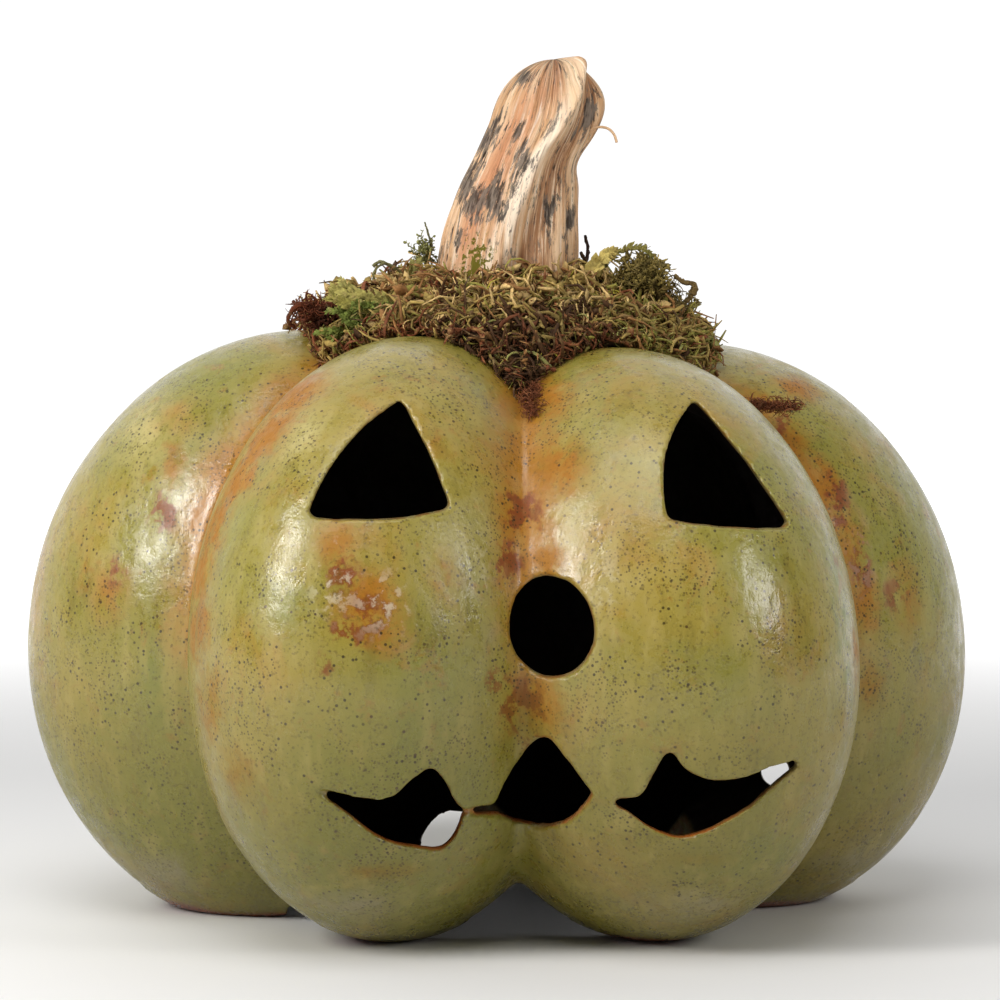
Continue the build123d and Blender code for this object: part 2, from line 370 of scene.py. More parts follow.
def prism(line, near, far):      # straight cutter through the wall
    shape = bmesh.new()
    ring = [shape.verts.new((p.x * mm, near * mm, p.y * mm)) for p in line]
    face = shape.faces.new(ring)
    grown = bmesh.ops.extrude_face_region(shape, geom=[face])
    moved = [g for g in grown["geom"] if isinstance(g, bmesh.types.BMVert)]
    bmesh.ops.translate(shape, verts=moved, vec=(0, (far - near) * mm, 0))
    bmesh.ops.recalc_face_normals(shape, faces=shape.faces)
    return asObject("cut", asMesh("cut", shape))


def coneCutter(lowRadius, highRadius, low, high, segments=192):
    shape = bmesh.new()
    bmesh.ops.create_cone(shape, cap_ends=True, segments=segments, radius1=lowRadius * mm,
                          radius2=highRadius * mm, depth=(high - low) * mm)
    bmesh.ops.translate(shape, verts=shape.verts, vec=(0, 0, (low + high) / 2 * mm))
    return asObject("cut", asMesh("cut", shape))


def oval(x, z, wide, tall, count):
    return [Vector((x + wide * math.cos(math.tau * k / count), z + tall * math.sin(math.tau * k / count)))
            for k in range(count)]


def asMesh(name, shape):
    mesh = bpy.data.meshes.new(name)
    shape.to_mesh(mesh)
    shape.free()
    return mesh


def asObject(name, mesh):
    piece = bpy.data.objects.new(name, mesh)
    scene.collection.objects.link(piece)
    return piece


def lidCone(gap):
    slope = math.tan(math.radians(carving["lidSlope"]))
    inset = gap / math.cos(math.radians(carving["lidSlope"]))
    radius = carving["lidRadius"]
    down, up = carving["coneReach"]
    return coneCutter(radius - down * slope - inset, radius + up * slope - inset,
                      carving["lidHeight"] - down, carving["lidHeight"] + up)


def jitter(line, amount):      # unevenness of a cut made by hand
    return [p + Vector((random.uniform(-amount, amount), random.uniform(-amount, amount))) for p in line]


def faceCutters():
    near = -carving["start"]
    far = -form["belly"] - carving["clear"]
    lines = [
        bulgedOutline(carving["leftEye"], carving["leftEyeBulge"]),
        bulgedOutline(carving["rightEye"], carving["rightEyeBulge"]),
        oval(*carving["noseMiddle"], *carving["noseSize"], 40),
        smoothOutline(carving["mouthLeft"], carving["mouthLeftCorners"]),
        smoothOutline(carving["mouthMiddle"], carving["mouthMiddleCorners"]),
        smoothOutline(carving["mouthRight"], carving["mouthRightCorners"]),
        [Vector(p) for p in carving["slit"]],
    ]
    return [prism(jitter(line, carving["unevenness"]), near, far) for line in lines]


def combine(piece, other, kind):      # boolean, applied at once
    step = piece.modifiers.new("cut", "BOOLEAN")
    step.operation = kind
    step.solver = "MANIFOLD"
    step.object = other
    applyAll(piece)
    bpy.data.objects.remove(other)


def applyAll(piece):
    graph = bpy.context.evaluated_depsgraph_get()
    made = bpy.data.meshes.new_from_object(piece.evaluated_get(graph))
    piece.modifiers.clear()
    old = piece.data
    piece.data = made
    bpy.data.meshes.remove(old)


fineness = {"body": (1.1 * mm, 190000), "lid": (1.0 * mm, 60000)}      # size of the even faces, most triangles


def refine(piece, voxel, most):      # even faces, softened rims, few triangles
    step = piece.modifiers.new("even", "REMESH")
    step.mode = "VOXEL"
    step.voxel_size = voxel
    applyAll(piece)
    shape = bmesh.new()
    shape.from_mesh(piece.data)
    for _ in range(2):
        bmesh.ops.smooth_vert(shape, verts=shape.verts, factor=0.5,
                              use_axis_x=True, use_axis_y=True, use_axis_z=True)
    shape.to_mesh(piece.data)
    shape.free()
    triangles = 2 * len(piece.data.polygons)
    if triangles > most:
        step = piece.modifiers.new("thin", "DECIMATE")
        step.ratio = most / triangles
        applyAll(piece)
    print("refined", piece.name, len(piece.data.polygons))


def waysAndSpans(points):
    away = points / mm - np.array([0, 0, form["middle"]])
    spans = np.linalg.norm(away, axis=1)
    return away / spans[:, None], spans


def settle(mesh):      # outer skin with the waviness of handwork
    points = readPoints(mesh)
    ways, spans = waysAndSpans(points)
    target = skinDistance(ways)
    off = np.abs(spans - target)
    hold = np.clip((0.9 - off) / 0.6, 0, 1)
    hold *= points[:, 2] > 0.8 * mm
    near = np.clip((3.0 - off) / 3.0, 0, 1) * (points[:, 2] > 6 * mm)
    spans = spans + (target - spans) * hold + handWave(ways) * near
    points = ways * spans[:, None]
    points[:, 2] = np.maximum(points[:, 2] + form["middle"], 0)
    writePoints(mesh, points * mm)


def handWave(ways):      # slow hollows and swells in millimetres
    x, y, z = ways.T
    swell = np.sin(5.1 * x + 2.3 * z + 0.7) * np.sin(4.3 * y - 3.1 * z + 1.9)
    ripple = np.sin(11.0 * x - 6.0 * y + 2.0) * np.sin(13.0 * z + 5.0 * x)
    return -0.35 + 0.3 * swell + 0.12 * ripple


def blurred(points, middle, size):      # soft round patch
    off = (points - np.array(middle) * mm) / (np.array(size) * mm)
    return np.exp(-(off**2).sum(1) * 2.2)


paint = {       # middle and half sizes of each patch in millimetres, and strength
    "ochre": [
        ((6, -78, 156), (14, 26, 12), 0.9), ((9, -98, 138), (12, 24, 14), 0.9),
        ((-2, -99, 123), (12, 18, 14), 0.95), ((4, -107, 112), (10, 16, 12), 0.8),
        ((-64, -72, 156), (18, 22, 17), 0.9), ((-73, -80, 146), (17, 22, 18), 0.95),
        ((-80, -84, 134), (14, 20, 20), 0.95), ((-87, -84, 121), (12, 20, 20), 0.95),
        ((-90, -87, 108), (11, 20, 20), 0.9), ((-91, -93, 92), (10, 20, 20), 0.85),
        ((-88, -100, 74), (10, 20, 20), 0.75), ((-80, -106, 54), (11, 20, 18), 0.55),
        ((-98, -40, 136), (6, 14, 18), 0.5), ((73, -35, 151), (14, 18, 10), 1.0),
        ((82, -42, 141), (12, 18, 12), 1.0), ((91, -45, 129), (10, 16, 14), 1.0),
        ((98, -50, 112), (9, 16, 16), 1.0), ((102, -52, 94), (9, 16, 18), 0.9),
        ((94, -94, 84), (6, 18, 16), 0.7), ((87, -105, 66), (7, 18, 12), 0.5),
        ((104, -52, 70), (10, 18, 16), 0.6), ((87, -23, 155), (16, 20, 8), 0.7),
        ((-44, -124, 99), (17, 22, 19), 0.95), ((-24, -118, 108), (12, 20, 16), 0.5),
        ((-53, -116, 117), (11, 18, 14), 0.7), ((30, -116, 116), (14, 20, 14), 0.4),
        ((116, -42, 94), (12, 18, 22), 0.5), ((-116, -42, 98), (12, 22, 18), 0.5),
        ((-96, -31, 148), (16, 24, 12), 0.4), ((60, -104, 50), (16, 24, 10), 0.35),
        ((0, -111, 70), (15, 20, 18), 0.95), ((-50, -116, 60), (12, 20, 8), 0.35),
        ((-40, -112, 27), (22, 22, 5), 0.5), ((46, -112, 30), (24, 22, 5), 0.4),
        ((0, 0, 168), (66, 66, 5), 0.4), ((-40, 100, 120), (24, 40, 30), 0.5),
        ((60, 96, 70), (26, 40, 26), 0.45), ((0, 112, 140), (16, 40, 30), 0.7),
        ((-112, 44, 90), (24, 30, 30), 0.4), ((104, 58, 110), (22, 30, 22), 0.4),
    ],
    "rust": [
        ((-51, -127, 94), (8, 14, 7), 1.0), ((-44, -125, 99), (10, 14, 9), 0.7),
        ((-57, -126, 86), (5, 12, 8), 0.45), ((-52, -120, 110), (8, 14, 11), 0.65),
        ((-2, -99, 124), (8, 14, 12), 0.85), ((-6, -107, 112), (7, 12, 9), 0.85),
        ((-4, -108, 72), (12, 16, 11), 0.9), ((1, -109, 62), (10, 16, 7), 0.6),
        ((-10, -114, 79), (8, 14, 8), 0.6), ((95, -47, 124), (6, 12, 20), 0.75),
        ((101, -50, 106), (6, 12, 14), 0.85), ((112, -44, 96), (8, 12, 8), 0.55),
        ((-101, -44, 121), (7, 12, 10), 0.7), ((-114, -42, 104), (6, 14, 8), 0.5),
        ((80, -38, 146), (7, 12, 8), 0.6), ((86, -88, 110), (4, 14, 4), 0.6),
        ((0, -104, 22), (16, 22, 8), 0.5), ((-60, 110, 90), (12, 24, 16), 0.5),
        ((30, 116, 60), (14, 24, 12), 0.5),
    ],
    # painted highlight: lighter patches where the lamps' broad highlights fall on the lobes
    "paintedSheen": [
        ((-62, -96, 146), (14, 26, 18), 0.8), ((-30, -100, 160), (26, 30, 12), 0.5),
        ((-108, -30, 146), (24, 40, 22), 0.8), ((-74, -104, 112), (8, 22, 26), 0.5),
        ((34, -104, 140), (12, 22, 26), 0.55), ((-92, -52, 96), (12, 20, 30), 0.4),
        ((-120, -46, 108), (10, 24, 24), 0.7), ((26, -112, 104), (6, 16, 14), 0.5),
        ((70, -96, 104), (12, 20, 12), 0.4),
    ],
    "pale": [
        ((-50, -100, 16), (34, 30, 11), 0.6), ((46, -100, 16), (34, 30, 12), 0.75),
        ((26, -116, 44), (20, 24, 8), 0.35), ((-100, -30, 14), (30, 40, 14), 0.6),
        ((104, -30, 16), (30, 40, 14), 0.6), ((0, 100, 14), (90, 40, 14), 0.6),
        ((-12, -116, 92), (7, 14, 12), 0.5),
    ],
    # painted highlight: white glint flecks where the lamps' highlights break up
    "paintedGlints": [
        ((-54, -118, 108), (9, 16, 14), 1.0), ((-42, -120, 102), (12, 16, 12), 0.9),
        ((-108, -56, 116), (9, 22, 20), 0.7), ((102, -62, 110), (9, 20, 20), 0.7),
        ((20, -112, 106), (8, 16, 12), 0.5), ((-16, -112, 112), (7, 16, 12), 0.5),
    ],
    "green": [
        ((-36, -110, 150), (16, 24, 14), 0.9), ((-66, -112, 100), (14, 24, 26), 0.6),
        ((-40, -122, 66), (28, 24, 16), 0.4), ((86, -96, 84), (10, 24, 46), 1.0),
        ((74, -104, 60), (14, 24, 30), 0.7), ((36, -120, 84), (16, 20, 18), 0.5),
        ((-120, -40, 60), (20, 30, 30), 0.35), ((-64, -112, 34), (20, 24, 16), 0.4),
        ((66, -110, 30), (22, 24, 16), 0.6), ((-104, -56, 76), (8, 24, 40), 0.6),
        ((116, -60, 66), (14, 24, 34), 0.6), ((26, -108, 150), (14, 24, 12), 0.5),
        ((0, 110, 100), (50, 30, 40), 0.5), ((110, 60, 90), (30, 30, 40), 0.5),
        ((-110, 60, 80), (30, 30, 40), 0.5),
    ],
}


def bell(value, middle, half):
    return np.exp(-((value - middle) / half) ** 2)


stains = {
    "grooveFoot": (30.0, 70.0, 0.25),       # height where the groove's wash starts, its rise, least share
    "hollow": (2.2, 1.6),                   # how far out from the inner skin, and how softly it ends
    "rim": (0.8, 1.0),                      # how far in from the outer skin, and how softly it ends
    "lip": (0.3, 0.5),
    "lipHeight": (36.0, 9.0, 24.0, 52.0),   # middle, half height, lowest and highest
    "foot": (2.4, 1.6, 1.2),                # height, unevenness, softness
}


def paintGlaze(mesh):      # how much of each wash lies where
    points = readPoints(mesh)
    ways, spans = waysAndSpans(points)
    outer = skinDistance(ways)
    inner = skinDistance(ways, -form["wall"])
    x, y, z = points.T / mm
    start, rise, least = stains["grooveFoot"]
    store = {"groove": grooveDepth(ways) * np.clip((z - start) / rise, least, 1)}
    for wash, patches in paint.items():
        total = np.zeros(len(points))
        for middle, size, strength in patches:
            total = np.maximum(total, blurred(points, middle, size) * strength)
        store[wash] = total
    deep, soft = stains["hollow"]
    store["hollow"] = np.clip((inner + deep - spans) / soft, 0, 1)
    deep, soft = stains["rim"]
    store["rim"] = np.clip((outer - deep - spans) / soft, 0, 1) * (1 - store["hollow"])
    deep, soft = stains["lip"]
    middle, half, lowest, highest = stains["lipHeight"]
    mouth = (z > lowest) * (z < highest) * (y < -60) * bell(z, middle, half)
    store["lip"] = np.clip((outer - deep - spans) / soft, 0, 1) * mouth
    level, uneven, soft = stains["foot"]
    store["foot"] = np.clip((level + uneven * np.sin(x / 7) * np.sin(y / 9) - z) / soft, 0, 1)
    writeLayers(mesh, store)


def shade(mesh):
    mesh.polygons.foreach_set("use_smooth", np.ones(len(mesh.polygons), bool))


def glazeMaterial():
    g = Shader("glaze")
    broad = g.noise(13, detail=3, rough=0.6)
    patchy = g.noise(42, detail=6, rough=0.66, twist=0.5)
    fine = g.noise(210, detail=5, rough=0.65)
    tiny = g.noise(900, detail=3, rough=0.6)
    brushed = g.noise(160, g.place((1.0, 1.0, 0.22)), detail=4, rough=0.6)
    grain = g.plus(g.times(patchy, 0.6), g.times(fine, 0.4))

    def wash(color, name, tint, low, high, swing=(0.45, 1.4)):
        amount = g.times(g.attribute(name), g.ramp(grain, 0.36, 0.64, *swing))
        return g.mix(g.ramp(amount, low, high), color, tint)

    color = g.mix(g.ramp(broad, 0.36, 0.66), srgb(134, 130, 50), srgb(160, 140, 62))      # two greens
    color = g.mix(g.ramp(patchy, 0.4, 0.7, 0.0, 0.6), color, srgb(134, 130, 58))
    color = wash(color, "green", srgb(112, 124, 50), 0.15, 1.2)
    # painted highlight: lighter patches at the lamps' highlights
    color = wash(color, "paintedSheen", srgb(182, 168, 104), 0.1, 1.1)
    blush = g.ramp(g.noise(26, detail=6, rough=0.7, twist=0.6), 0.5, 0.7)
    color = g.mix(g.times(blush, 0.6), color, srgb(164, 120, 44))      # warm clouds
    freckle = g.ramp(g.noise(85, detail=6, rough=0.75, twist=0.4), 0.56, 0.68)
    color = g.mix(g.times(freckle, 0.5), color, srgb(156, 102, 38))      # small rusty spots
    color = wash(color, "groove", srgb(164, 112, 34), 0.28, 0.9, (0.75, 1.2))
    color = wash(color, "ochre", srgb(160, 106, 28), 0.08, 0.8)
    crumbly = g.plus(g.times(patchy, 0.4), g.times(fine, 0.6))
    burnt = g.times(g.attribute("rust"), g.ramp(crumbly, 0.4, 0.6, 0.2, 1.9))
    color = g.mix(g.ramp(burnt, 0.2, 0.7, 0.0, 0.95), color, srgb(126, 62, 20))
    level = g.node("ShaderNodeSeparateXYZ", Vector=g.place()).outputs["Z"]
    color = g.mix(g.ramp(level, 0.03, 0.12, 0.55, 0.0), color, srgb(98, 94, 26))      # painted shade, darker towards the foot
    color = wash(color, "pale", srgb(138, 128, 96), 0.15, 1.1)
    color = g.mix(g.ramp(brushed, 0.5, 0.7, 0.0, 0.22), color, srgb(186, 166, 100))
    color = g.mix(g.ramp(brushed, 0.28, 0.46, 0.3, 0.0), color, srgb(98, 88, 32))
    glints = g.times(g.attribute("paintedGlints"), g.ramp(fine, 0.52, 0.62))
    color = g.mix(g.times(glints, 0.8), color, srgb(214, 204, 176))      # painted highlight, white glint flecks

    def specks(color, size, low, high, cover, strength, tint):
        dots = g.ramp(g.cells(size), low, high, 1.0, 0.0)
        dots = g.times(dots, g.ramp(g.noise(cover, detail=2), 0.42, 0.6))
        return g.mix(g.times(dots, strength), color, tint)

    color = g.mix(g.ramp(tiny, 0.54, 0.68, 0.0, 0.42), color, srgb(84, 66, 22))
    color = specks(color, 880, 0.2, 0.34, 60, 0.75, srgb(64, 48, 16))
    color = specks(color, 470, 0.15, 0.24, 70, 0.9, srgb(50, 38, 14))
    color = specks(color, 260, 0.09, 0.14, 40, 0.85, srgb(66, 40, 18))
    # cut rims: brown clay mottled with pale cream, the pale part painted highlight on the rounded edge
    edge = g.mix(g.ramp(fine, 0.4, 0.6), srgb(152, 140, 92), srgb(138, 92, 44))
    lip = g.times(g.attribute("lip"), g.ramp(patchy, 0.35, 0.5))
    edge = g.mix(lip, edge, srgb(168, 92, 36))
    color = g.mix(g.attribute("rim"), color, edge)
    color = g.mix(g.attribute("foot"), color, srgb(118, 60, 30))
    color = g.mix(g.attribute("hollow"), color, srgb(40, 25, 15))      # inside matt and unglazed, its near-black colour painted shade
    rough = g.plus(g.times(fine, 0.5), g.times(brushed, 0.5))
    rough = g.ramp(rough, 0.4, 0.6, 0.2, 0.46)
    stained = g.reckon("MAXIMUM", g.attribute("rust"), g.attribute("ochre"))
    rough = g.plus(rough, g.times(stained, 0.22))
    gloss = g.ramp(stained, 0.1, 0.9, 0.55, 0.22)
    coat = g.ramp(g.plus(g.attribute("hollow"), stained), 0.1, 0.8, 0.26, 0.0)
    coat = g.times(coat, g.ramp(level, 0.05, 0.11, 0.3, 1.0))
    rough = g.plus(rough, g.times(g.attribute("hollow"), 0.4))
    normal = g.bump(g.noise(52, detail=3), 0.0016, 0.4)
    normal = g.bump(brushed, 0.0005, 0.35, after=normal)
    normal = g.bump(fine, 0.0005, 0.4, after=normal)
    normal = g.bump(tiny, 0.00014, 0.4, after=normal)
    return g.finish(Base_Color=color, Roughness=rough, Normal=normal, Specular_IOR_Level=gloss,
                    Coat_Weight=coat, Coat_Roughness=0.14, Coat_Normal=normal)


def shellObject(name):
    piece = skinObject(name, 0.0, 0.0)
    combine(piece, skinObject("hollow", -form["wall"], form["wall"]), "DIFFERENCE")
    return piece


def finishShell(piece, body, node, glaze):
    paintGlaze(piece.data)
    shade(piece.data)
    piece.data.materials.clear()
    piece.data.materials.append(glaze)
    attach(piece, body)
    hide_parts(node)


def buildBody(glaze):
    body = shellObject("ceramic_body_glazed")
    wide, tall = carving["baseRadius"], carving["baseTop"]
    x, z, radius = carving["cordHole"]
    cutters = [
        lidCone(0),
        coneCutter(wide, wide, -tall, tall),
        prism(oval(x, z, radius, radius, 24), carving["cordStart"], form["belly"]),
        prism(oval(carving["archX"], 0, carving["archHalf"], carving["archTall"], 48), *carving["archReach"]),
    ]
    for cutter in cutters + faceCutters():
        combine(body, cutter, "DIFFERENCE")
    print("body cut", len(body.data.polygons))
    refine(body, *fineness["body"])
    settle(body.data)
    finishShell(body, "pumpkin", "ceramic_body", glaze)


def buildLid(glaze):
    lid = shellObject("ceramic_lid_glazed")
    radius, foot, top = carving["pad"]
    combine(lid, lidCone(carving["lidGap"]), "INTERSECT")
    combine(lid, coneCutter(radius, radius, foot, top, 96), "UNION")
    refine(lid, *fineness["lid"])
    finishShell(lid, "lid", "ceramic_lid", glaze)


stem = {
    "base": 165.0,
    "around": 180,
    "rows": 170,
    "capFrom": 71.0,         # height above the base where the rounded end begins
    "capTall": 16.4,
    "shares": (0.03, 0.84),  # where the foot ends and the cap begins, counted in rows
    "sections": [            # height above the base, middle x, middle y, half width, half depth
        (0, 1.5, 0, 23.0, 21.5), (16, 2.0, 0, 21.2, 20.2), (25, 2.2, 0, 20.2, 19.4), (38, 3.4, 0, 19.0, 18.2),
        (50, 5.8, 0.5, 17.0, 16.8), (57, 7.9, 0.6, 15.2, 15.8), (62, 10.0, 1.0, 15.4, 15.4),
        (66, 12.2, 1.1, 15.7, 15.2), (72, 14.0, 1.4, 15.2, 14.8), (90, 16.6, 2.0, 15.0, 14.4),
    ],
    "ridge": [               # height and azimuth of the long ridge that ends in the knob
        (0, -22), (22, -15), (46, 0), (59, 8), (72, 21), (84, 38), (90, 44),
    ],
    "ribs": [                # azimuth, width in degrees, share of the radius at the foot and at the top
        (-78, 15, 0.05, 0.02), (-48, 13, 0.06, 0.02), (42, 12, 0.05, 0.03), (66, 11, 0.06, 0.02),
        (104, 17, 0.08, 0.05), (146, 18, 0.11, 0.06), (188, 16, 0.07, 0.05), (226, 18, 0.10, 0.04),
        (262, 13, 0.06, 0.02),
    ],
    "bulge": (70.0, 8.0, 84.0, 34.0, 0.10),   # height, half height, azimuth, half width, share
    "notch": (56.0, 4.5, 84.0, 30.0, 0.07),
    "crack": (74.0, 7.0, 66.0, 7.0, 0.16),
    "knob": (44.0, 16.0, 85.0, 3.4, 2.4, 2.6),      # azimuth, half width, height, half height, rise, lean
    "tendril": [(25, -4, 231), (28.5, -6, 232.2), (31.5, -7, 231.8), (33.4, -7, 230), (34.2, -7, 227.6)],
    "mould": [               # middle x, z and half sizes of the dark patches on the front left
        ((-6, 229), (5.0, 6.5)), ((-10, 216), (3.2, 7.0)), ((-5, 211), (7.0, 6.5)), ((-13, 224), (3.0, 9.0)),
        ((7, 247), (2.2, 3.0)), ((5, 221), (1.6, 4.0)), ((4, 231), (1.2, 3.0)), ((14.5, 209), (1.8, 3.5)),
        ((20, 205), (1.6, 4.5)), ((-13, 200), (1.2, 3.0)), ((26, 236), (3, 6)),
    ],
}


def turnBell(azimuth, middle, half):
    away = (azimuth - middle + 180) % 360 - 180
    return np.exp(-((away / half) ** 2))


def softRow(table, height, column):      # one column along the height, corners rounded
    table = np.array(table, float)
    spread = np.linspace(-4, 4, 9)
    return sum(np.interp(height + s, table[:, 0], table[:, column]) for s in spread) / len(spread)


def buildStem():
    shape = bmesh.new()
    bmesh.ops.create_uvsphere(shape, u_segments=stem["around"], v_segments=stem["rows"], radius=1)
    mesh = asMesh("stem_dried", shape)
    ball = readPoints(mesh)
    azimuth = np.degrees(np.arctan2(ball[:, 0], -ball[:, 1]))
    share = 1 - np.degrees(np.arccos(np.clip(ball[:, 2], -1, 1))) / 180
    foot, body = stem["shares"]
    height = np.interp(share, (foot, body), (0, stem["capFrom"]))
    cap = np.clip((share - body) / (1 - body), 0, 1) * math.pi / 2
    height = height + stem["capTall"] * np.sin(cap)
    shrink = np.cos(cap) * np.clip(share / foot, 0, 1) ** 0.5
    ridgeAt = softRow(stem["ridge"], height, 1)
    low = np.interp(height, (0, 30, 80), (1, 0.45, 0))
    swell = np.interp(height, (0, 20, 60, 84), (0.16, 0.12, 0.15, 0.24))
    swell = swell * turnBell(azimuth, ridgeAt, 6.5 + 5 * low)
    swell -= 0.11 * turnBell(azimuth, ridgeAt + 25, 15) + 0.05 * turnBell(azimuth, ridgeAt - 34, 20)
    swell -= 0.10 * np.clip((height - 68) / 14, 0, 1) * turnBell(azimuth, ridgeAt - 30, 13)
    for middle, half, atFoot, atTop in stem["ribs"]:
        lean = middle + height * 0.18 * np.sign(math.sin(math.radians(middle)))
        swell += (atFoot * low + atTop * (1 - low)) * turnBell(azimuth, lean, half)
    for name, way in (("bulge", 1), ("notch", -1), ("crack", -1)):
        level, half, middle, wide, amount = stem[name]
        swell += way * amount * bell(height, level, half) * turnBell(azimuth, middle, wide)
    fine = np.zeros(len(ball))
    for _ in range(46):
        count = rng.integers(14, 64)
        drift = rng.uniform(-0.5, 0.5)
        wave = np.sin(np.radians(azimuth) * count + drift * height / 6 + rng.uniform(0, 6.3))
        fine += wave * bell(height, rng.uniform(0, 90), rng.uniform(14, 40)) * 0.004
    around = np.radians(azimuth)
    lump = 0.012 * np.sin(height / 5.3 + 2 * np.sin(around)) * np.sin(around * 3 + height / 9)
    radius = (1 + swell + fine + lump) * shrink
    middleX, middleY, wide, deep = [softRow(stem["sections"], height, column) for column in (1, 2, 3, 4)]
    x = middleX + wide * radius * np.sin(around)
    y = middleY - deep * radius * np.cos(around)
    middle, half, level, tall, rise, lean = stem["knob"]
    knob = turnBell(azimuth, middle, half) * bell(height, level, tall) * np.clip(shrink * 2.6, 0, 1)
    z = stem["base"] + height + rise * knob
    x = x + lean * knob
    x = x + 1.2 * turnBell(azimuth, 90, 50) * bell(height, 78, 6)
    writePoints(mesh, np.stack([x, y, z], 1) * mm)
    straight = np.stack([21 * np.sin(around), -21 * np.cos(around), height], 1) * mm     # unbent
    layer = mesh.attributes.new("fibre", "FLOAT_VECTOR", "POINT")
    layer.data.foreach_set("vector", straight.astype(np.float32).ravel())
    mould = np.zeros(len(ball))
    for (middleX, middleZ), (wide, tall) in stem["mould"]:
        patch = bell(x, middleX + (z - middleZ) * 0.35, wide) * bell(z, middleZ, tall) * (y < 4)
        mould = np.maximum(mould, patch)
    store = {
        "mould": mould,
        "cream": turnBell(azimuth, ridgeAt - 6, 11) * np.interp(height, (0, 50, 88), (1, 0.8, 0.3)),
        "shadow": np.clip(-swell * 7, 0, 1) + 0.8 * turnBell(azimuth, ridgeAt + 34, 16),
        "lichen": bell(x, -8.5, 3.6) * bell(z, 191, 7) * (y < 0),
        "pink": turnBell(azimuth, ridgeAt - 42, 26) * np.interp(height, (0, 30, 88), (0.25, 0.8, 1)),
    }
    writeLayers(mesh, store)
    tendril = bmesh.new()
    line = curve([Vector(p) * mm for p in stem["tendril"]], 4)
    limb(tendril, line, [0.8 * mm] + [0.4 * mm] * (len(line) - 1))
    mesh = mergeMeshes("stem_dried", [mesh, asMesh("tendril", tendril)])
    shade(mesh)
    addPiece("stem_dried", mesh, "lid", stemMaterial(), ["stem"])
    print("stem", len(mesh.polygons))


def stemMaterial():
    s = Shader("driedStem")
    along = s.attribute("fibre", "Vector")

    def stretched(share):
        return s.node("ShaderNodeMapping", Vector=along, Scale=(1, 1, share)).outputs[0]

    fibre = s.noise(950, stretched(0.05), detail=5, rough=0.7)
    strand = s.noise(330, stretched(0.06), detail=4, rough=0.65)
    wide = s.noise(120, stretched(0.14), detail=4, rough=0.6, twist=0.4)
    crumble = s.noise(420, stretched(0.3), detail=5, rough=0.75)
    color = s.mix(s.ramp(strand, 0.36, 0.64), srgb(242, 210, 172), srgb(214, 166, 120))
    pink = s.times(s.attribute("pink"), s.ramp(wide, 0.38, 0.6))
    color = s.mix(pink, color, srgb(216, 150, 108))
    cream = s.times(s.attribute("cream"), s.ramp(wide, 0.3, 0.6, 0.45, 1.3))
    color = s.mix(s.ramp(cream, 0.25, 0.85, 0.0, 0.9), color, srgb(250, 232, 208))
    dark = s.times(s.attribute("shadow"), s.ramp(fibre, 0.42, 0.58, 0.3, 1.0))
    color = s.mix(s.ramp(dark, 0.1, 0.9, 0.0, 0.8), color, srgb(160, 108, 70))
    color = s.mix(s.ramp(fibre, 0.54, 0.66, 0.0, 0.5), color, srgb(150, 98, 62))
    color = s.mix(s.ramp(fibre, 0.34, 0.46, 0.6, 0.0), color, srgb(255, 242, 222))
    color = s.mix(s.ramp(strand, 0.6, 0.7, 0.0, 0.6), color, srgb(120, 76, 46))
    rot = s.plus(s.attribute("mould"), s.ramp(crumble, 0.34, 0.66, -0.6, 0.55))
    grey = s.mix(s.ramp(s.noise(700, stretched(0.3)), 0.4, 0.6), srgb(44, 42, 42), srgb(128, 116, 104))
    color = s.mix(s.ramp(rot, 0.15, 0.6, 0.0, 0.92), color, grey)
    pits = s.ramp(s.cells(330, stretched(0.4)), 0.1, 0.2, 1.0, 0.0)
    pits = s.times(pits, s.ramp(s.noise(90, along, detail=2), 0.5, 0.58))
    color = s.mix(s.times(pits, 0.85), color, srgb(54, 36, 24))
    green = s.ramp(s.noise(620, along, detail=5), 0.35, 0.65, -0.6, 0.3)
    green = s.plus(s.attribute("lichen"), green)
    color = s.mix(s.ramp(green, 0.25, 0.5), color, srgb(112, 104, 24))
    normal = s.bump(strand, 0.0016, 1.0)
    normal = s.bump(fibre, 0.0009, 0.9, after=normal)
    normal = s.bump(pits, -0.0008, 0.8, after=normal)
    return s.finish(Base_Color=color, Roughness=0.8, Normal=normal, Specular_IOR_Level=0.3)


def limb(shape, path, radii, sides=6):      # tube along a path, closed at both ends
    path = [Vector(p) for p in path]
    turn = (path[1] - path[0]).to_track_quat("Z", "Y")
    before = (path[1] - path[0]).normalized()
    rings = []
    for index, (point, radius) in enumerate(zip(path, radii)):
        ahead = path[min(index + 1, len(path) - 1)] - path[max(index - 1, 0)]
        if ahead.length > 0:
            ahead.normalize()
            turn = before.rotation_difference(ahead) @ turn
            before = ahead
        place = Matrix.Translation(point) @ turn.to_matrix().to_4x4()
        rings.append(bmesh.ops.create_circle(shape, segments=sides, radius=radius, matrix=place)["verts"])
    for low, high in zip(rings, rings[1:]):
        for k in range(sides):
            shape.faces.new((low[k - 1], low[k], high[k], high[k - 1]))
    shape.faces.new(rings[0][::-1])
    shape.faces.new(rings[-1])


def curve(points, steps=5):      # smooth line through points
    points = [Vector(p) for p in points]
    line = []
    for index in range(len(points) - 1):
        a = points[max(index - 1, 0)]
        b, c = points[index], points[index + 1]
        d = points[min(index + 2, len(points) - 1)]
        for step in range(steps):
            t = step / steps
            line.append(b * (2 * t**3 - 3 * t**2 + 1) + (c - a) / 2 * (t**3 - 2 * t**2 + t)
                        + c * (3 * t**2 - 2 * t**3) + (d - b) / 2 * (t**3 - t**2))
    line.append(points[-1])
    return line


